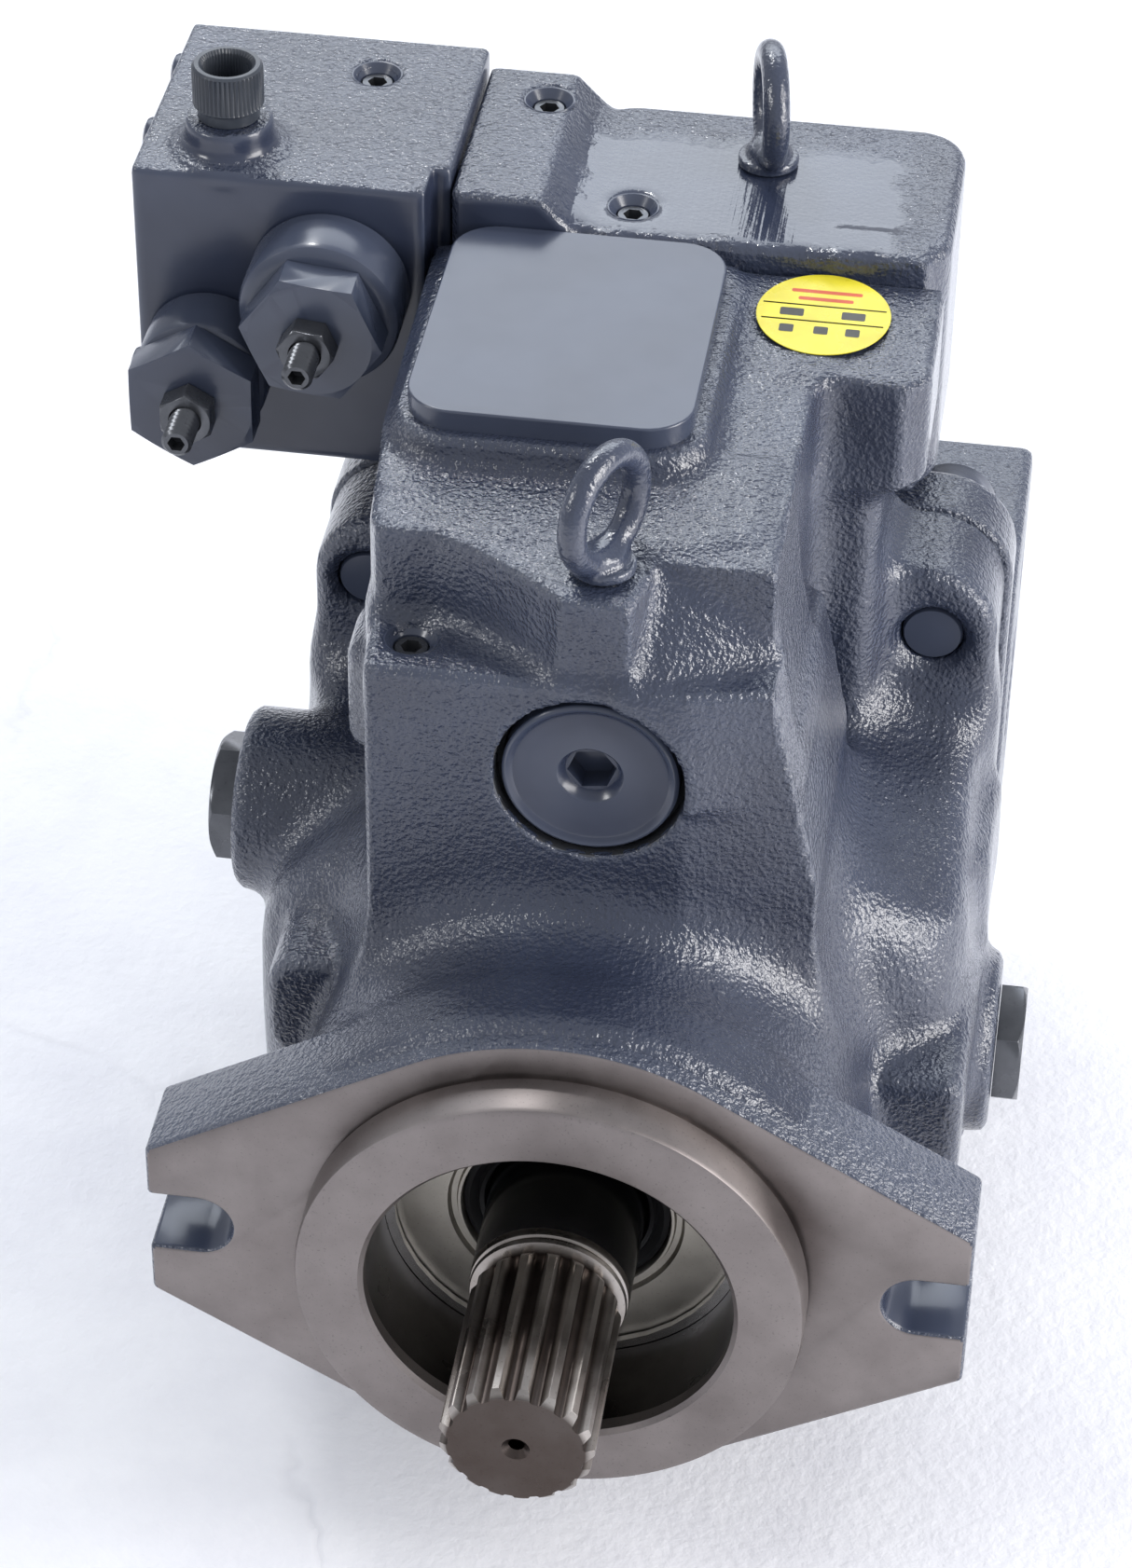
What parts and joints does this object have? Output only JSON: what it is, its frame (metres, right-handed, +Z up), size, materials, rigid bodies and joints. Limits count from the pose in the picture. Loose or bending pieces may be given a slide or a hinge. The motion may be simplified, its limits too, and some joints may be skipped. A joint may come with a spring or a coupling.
{
  "type": "axial piston pump",
  "caption": "Swash plate axial piston pump with a two-bolt flange, splined shaft, side ports and a top-mounted compensator block.",
  "frame": {"origin": "on the shaft's axis, in the plane of the mounting flange's face", "axes": "+Y from the flange back along the shaft's axis, +X to the right of someone facing the shaft's end, +Z up towards the regulator"},
  "size_m": [0.251, 0.354, 0.333],
  "materials": {
    "painted_casting": "glossy slate grey paint over a cast surface",
    "machined_steel": "turned or ground steel",
    "bearing_bronze": "ground bronze",
    "black_rubber": "matte rubber",
    "dark_plastic": "knurled plastic",
    "yellow_label": "glossy yellow film",
    "spring_steel": "oiled spring steel"
  },
  "bodies": {
    "housing": {"casing": "painted_casting", "compensator_block": "painted_casting", "cover_screw_1": "machined_steel", "cover_screw_2": "machined_steel", "cover_screw_3": "machined_steel", "cover_screw_4": "machined_steel", "drain_plug_left": "machined_steel", "drain_plug_right": "machined_steel", "eyebolt_front": "machined_steel", "eyebolt_rear": "machined_steel", "front_bearing_outer_race": "machined_steel", "gallery_plug_1": "machined_steel", "gallery_plug_2": "machined_steel", "gallery_plug_3": "machined_steel", "gallery_plug_4": "machined_steel", "inspection_label": "yellow_label", "large_adjuster_cap": "machined_steel", "large_adjuster_sleeve": "painted_casting", "large_spring": "spring_steel", "port_block": "painted_casting", "rear_needle_bearing": "machined_steel", "regulator_body": "painted_casting", "retaining_ring": "spring_steel", "seal_cover": "machined_steel", "servo_piston": "machined_steel", "servo_plug": "machined_steel", "shaft_seal": "black_rubber", "side_plug_1": "machined_steel", "side_plug_2": "machined_steel", "side_plug_3": "machined_steel", "small_adjuster_cap": "machined_steel", "small_adjuster_sleeve": "painted_casting", "small_spring": "spring_steel", "swash_plate": "machined_steel", "swash_support": "machined_steel", "tilting_pin": "machined_steel", "valve_cover": "painted_casting", "valve_plate": "bearing_bronze"},
    "rotor": {"drive_shaft": "machined_steel", "front_bearing_rollers": "machined_steel", "cylinder_block": "machined_steel", "spherical_bush": "machined_steel", "barrel_spring": "spring_steel", "shoe_retainer": "bearing_bronze", "piston_1": "machined_steel", "piston_2": "machined_steel", "piston_3": "machined_steel", "piston_4": "machined_steel", "piston_5": "machined_steel", "piston_6": "machined_steel", "piston_7": "machined_steel", "piston_8": "machined_steel", "piston_9": "machined_steel"},
    "large_spool_body": {"large_spool": "machined_steel"},
    "small_spool_body": {"small_spool": "machined_steel"},
    "large_screw": {"large_set_screw": "machined_steel"},
    "small_screw": {"small_set_screw": "machined_steel"},
    "large_nut": {"large_lock_nut": "machined_steel"},
    "small_nut": {"small_lock_nut": "machined_steel"},
    "cap": {"port_cap": "dark_plastic"}
  },
  "joints": [
    {"name": "shaft_spin", "type": "hinge", "parent": "housing", "child": "rotor", "pos_m": [0, 0, 0], "axis": [0, 1, 0], "continuous": true},
    {"name": "large_spool_slide", "type": "slide", "parent": "housing", "child": "large_spool_body", "axis": [0, -1, 0], "range_m": [0, 0.002], "stiffness_N_per_m": 3000},
    {"name": "small_spool_slide", "type": "slide", "parent": "housing", "child": "small_spool_body", "axis": [0, -1, 0], "range_m": [0, 0.002], "stiffness_N_per_m": 3000},
    {"name": "large_screw_turn", "type": "hinge", "parent": "housing", "child": "large_screw", "pos_m": [-0.087, 0.15, 0.168], "axis": [0, -1, 0], "range_deg": [-180, 180]},
    {"name": "large_nut_turn", "type": "hinge", "parent": "housing", "child": "large_nut", "pos_m": [-0.087, 0.145, 0.168], "axis": [0, -1, 0], "range_deg": [0, 180]},
    {"name": "small_screw_turn", "type": "hinge", "parent": "housing", "child": "small_screw", "pos_m": [-0.1187, 0.15, 0.1445], "axis": [0, -1, 0], "range_deg": [-180, 180]},
    {"name": "small_nut_turn", "type": "hinge", "parent": "housing", "child": "small_nut", "pos_m": [-0.1187, 0.145, 0.1445], "axis": [0, -1, 0], "range_deg": [0, 180]},
    {"name": "cap_pull", "type": "slide", "parent": "housing", "child": "cap", "axis": [0, 0, 1], "range_m": [0, 0.03]}
  ]
}
